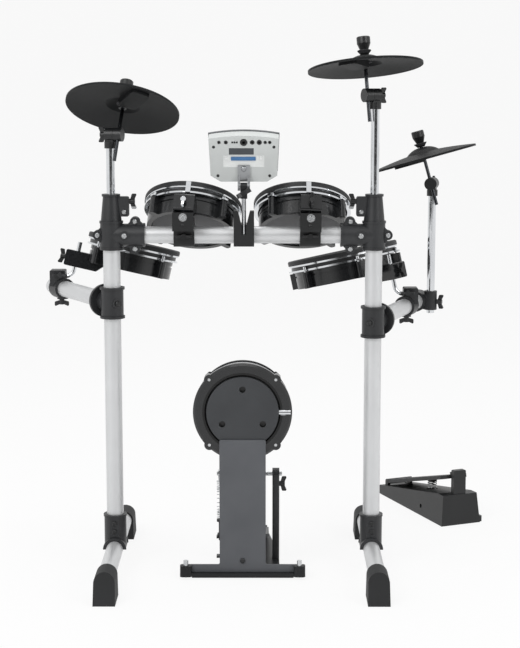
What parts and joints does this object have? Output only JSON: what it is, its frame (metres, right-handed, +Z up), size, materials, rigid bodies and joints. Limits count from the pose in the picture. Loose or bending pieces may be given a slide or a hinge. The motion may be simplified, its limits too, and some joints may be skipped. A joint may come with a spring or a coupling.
{
  "type": "electronic drum kit",
  "caption": "Electronic drum kit on a tube rack: tilting drum pads, rubber cymbals on poles, a kick pad tower with a chain pedal, a hi-hat pedal and a sound module.",
  "frame": {"origin": "on the floor, under the middle of the kick tower's base", "axes": "+Z up, +Y from the audience towards the drummer, +X to the hi-hat side"},
  "size_m": [1.0773, 0.9891, 1.2004],
  "materials": {
    "satin_tube": "satin silver tube",
    "black_moulding": "dark grey-black moulded plastic",
    "steel": "plated steel",
    "chrome": "polished chrome",
    "rubber": "black rubber",
    "gloss_shell": "gloss black shell with a grey base panel",
    "head": "stretched head inside a black rubber rim",
    "cymbal": "matte black rubber over a stiff core",
    "powder_coat": "dark grey powder coat",
    "grey_plastic": "light grey moulded plastic",
    "felt": "felt beater on a steel rod"
  },
  "bodies": {
    "rack": {"right_upright": "satin_tube", "left_upright": "satin_tube", "crossbar": "satin_tube", "foot_bars": "satin_tube", "rubber_feet": "rubber", "corner_fittings": "black_moulding", "foot_clamps": "black_moulding", "rack_bolts": "steel", "module_clamp": "black_moulding", "kick_base_bar": "powder_coat", "kick_plate": "powder_coat", "kick_shell": "gloss_shell", "kick_hoop": "chrome", "kick_head": "head", "kick_pedal_base": "powder_coat", "kick_chain": "steel", "kick_spring": "steel", "hihat_pedal_base": "black_moulding", "hihat_spring": "steel"},
    "left_tom": {"left_tom_clamp": "black_moulding", "left_tom_shell": "gloss_shell", "left_tom_hoop": "chrome", "left_tom_head": "head"},
    "right_tom": {"right_tom_clamp": "black_moulding", "right_tom_shell": "gloss_shell", "right_tom_hoop": "chrome", "right_tom_head": "head"},
    "left_arm": {"left_arm_tube": "satin_tube", "left_arm_clamps": "black_moulding"},
    "floor_tom_rod": {"floor_tom_rod": "chrome"},
    "floor_tom": {"floor_tom_shell": "gloss_shell", "floor_tom_hoop": "chrome", "floor_tom_head": "head"},
    "right_arm": {"right_arm_tube": "satin_tube", "right_arm_clamps": "black_moulding"},
    "snare_rod": {"snare_rod": "chrome"},
    "snare": {"snare_shell": "gloss_shell", "snare_hoop": "chrome", "snare_head": "head"},
    "ride_pole": {"ride_pole": "chrome"},
    "ride_tilter": {"ride_tilter": "black_moulding"},
    "ride_cymbal": {"ride_cymbal": "cymbal"},
    "crash_pole": {"crash_pole": "chrome"},
    "crash_tilter": {"crash_tilter": "black_moulding"},
    "crash_cymbal": {"crash_cymbal": "cymbal"},
    "hihat_pole": {"hihat_pole": "chrome"},
    "hihat_tilter": {"hihat_tilter": "black_moulding"},
    "hihat_cymbal": {"hihat_cymbal": "cymbal"},
    "module": {"module_bracket": "steel", "module_case": "grey_plastic", "module_panel": "grey_plastic", "module_jacks": "black_moulding"},
    "module_dial": {"module_dial": "black_moulding"},
    "module_volume": {"module_volume": "black_moulding"},
    "module_left_key": {"module_left_key": "black_moulding"},
    "module_right_key": {"module_right_key": "black_moulding"},
    "kick_footboard": {"kick_footboard": "satin_tube"},
    "kick_axle": {"kick_axle": "steel", "kick_beater": "felt"},
    "hihat_footboard": {"hihat_footboard": "black_moulding"}
  },
  "joints": [
    {"name": "left_tom_tilt", "type": "hinge", "parent": "rack", "child": "left_tom", "pos_m": [0, 0.078, 0.763], "axis": [1, 0, 0], "range_deg": [-12, 15]},
    {"name": "right_tom_tilt", "type": "hinge", "parent": "rack", "child": "right_tom", "pos_m": [0, 0.078, 0.763], "axis": [1, 0, 0], "range_deg": [-12, 15]},
    {"name": "left_arm_swing", "type": "hinge", "parent": "rack", "child": "left_arm", "pos_m": [-0.2925, 0.078, 0.611], "axis": [0, 0, 1], "range_deg": [-2, 30]},
    {"name": "floor_tom_tilt", "type": "hinge", "parent": "left_arm", "child": "floor_tom_rod", "pos_m": [-0.41021, 0.32898, 0.64], "axis": [1, 0, 0], "range_deg": [-8, 8]},
    {"name": "floor_tom_swivel", "type": "hinge", "parent": "floor_tom_rod", "child": "floor_tom", "pos_m": [-0.38676, 0.33993, 0.74157], "axis": [0.2237, 0.1045, 0.969], "range_deg": [-5, 15]},
    {"name": "right_arm_swing", "type": "hinge", "parent": "rack", "child": "right_arm", "pos_m": [0.2925, 0.078, 0.568], "axis": [0, 0, 1], "range_deg": [-25, 5]},
    {"name": "snare_tilt", "type": "hinge", "parent": "right_arm", "child": "snare_rod", "pos_m": [0.36446, 0.3319, 0.597], "axis": [1, 0, 0], "range_deg": [-8, 8]},
    {"name": "snare_swivel", "type": "hinge", "parent": "snare_rod", "child": "snare", "pos_m": [0.34023, 0.34415, 0.71101], "axis": [-0.2068, 0.1045, 0.9728], "range_deg": [-15, 15]},
    {"name": "ride_height", "type": "slide", "parent": "rack", "child": "ride_pole", "axis": [0, 0, 1], "range_m": [-0.06, 0.15]},
    {"name": "ride_tilt", "type": "hinge", "parent": "ride_pole", "child": "ride_tilter", "pos_m": [-0.2925, 0.078, 0.985], "axis": [0.9659, -0.2588, 0], "range_deg": [-10, 25]},
    {"name": "ride_rock", "type": "hinge", "parent": "ride_tilter", "child": "ride_cymbal", "pos_m": [-0.26341, 0.11121, 1.06274], "axis": [0.9659, -0.2588, 0], "range_deg": [-3, 3]},
    {"name": "crash_height", "type": "slide", "parent": "rack", "child": "crash_pole", "axis": [0, 0, 1], "range_m": [-0.08, 0.06]},
    {"name": "crash_tilt", "type": "hinge", "parent": "crash_pole", "child": "crash_tilter", "pos_m": [0.2925, 0.078, 1.071], "axis": [0.9063, 0.4226, 0], "range_deg": [-20, 15]},
    {"name": "crash_rock", "type": "hinge", "parent": "crash_tilter", "child": "crash_cymbal", "pos_m": [0.26826, 0.08384, 1.15482], "axis": [0.9063, 0.4226, 0], "range_deg": [-3, 3]},
    {"name": "hihat_height", "type": "slide", "parent": "right_arm", "child": "hihat_pole", "axis": [0, 0, 1], "range_m": [-0.08, 0.06]},
    {"name": "hihat_tilt", "type": "hinge", "parent": "hihat_pole", "child": "hihat_tilter", "pos_m": [0.45495, 0.408, 0.856], "axis": [0.2588, 0.9659, 0], "range_deg": [-15, 15]},
    {"name": "hihat_rock", "type": "hinge", "parent": "hihat_tilter", "child": "hihat_cymbal", "pos_m": [0.42668, 0.39539, 0.93987], "axis": [0.2588, 0.9659, 0], "range_deg": [-3, 3]},
    {"name": "module_tilt", "type": "hinge", "parent": "rack", "child": "module", "pos_m": [0.003, 0.053, 0.872], "axis": [1, 0, 0], "range_deg": [-10, 12]},
    {"name": "module_dial_turn", "type": "hinge", "parent": "module", "child": "module_dial", "pos_m": [0.047, 0.08631, 0.92804], "axis": [0, 0.9511, 0.309], "continuous": true},
    {"name": "module_volume_turn", "type": "hinge", "parent": "module", "child": "module_volume", "pos_m": [-0.047, 0.08631, 0.92804], "axis": [0, 0.9511, 0.309], "range_deg": [-140, 140]},
    {"name": "module_left_key_press", "type": "slide", "parent": "module", "child": "module_left_key", "axis": [0, -0.9511, -0.309], "range_m": [0, 0.0015], "stiffness_N_per_m": 300, "springref_m": -0.001},
    {"name": "module_right_key_press", "type": "slide", "parent": "module", "child": "module_right_key", "axis": [0, -0.9511, -0.309], "range_m": [0, 0.0015], "stiffness_N_per_m": 300, "springref_m": -0.001},
    {"name": "kick_footboard_press", "type": "hinge", "parent": "rack", "child": "kick_footboard", "pos_m": [0.018, 0.32216, 0.02], "axis": [1, 0, 0], "range_deg": [0, 7.29], "stiffness_Nm_per_rad": 20, "springref_deg": -8.59, "deforming": ["kick_chain"]},
    {"name": "kick_axle_turn", "type": "hinge", "parent": "rack", "child": "kick_axle", "pos_m": [0, 0.125, 0.206], "axis": [1, 0, 0], "range_deg": [0, 55.2], "deforming": ["kick_spring"]},
    {"name": "hihat_footboard_press", "type": "hinge", "parent": "rack", "child": "hihat_footboard", "pos_m": [0.4115, 0.73245, 0.036], "axis": [0.9205, 0.3907, 0], "range_deg": [0, 5.5], "stiffness_Nm_per_rad": 30, "springref_deg": -6.88, "deforming": ["hihat_spring"]}
  ],
  "couplings": [
    {"joint": "kick_axle_turn", "follows": "kick_footboard_press", "ratio": 7.5721}
  ]
}
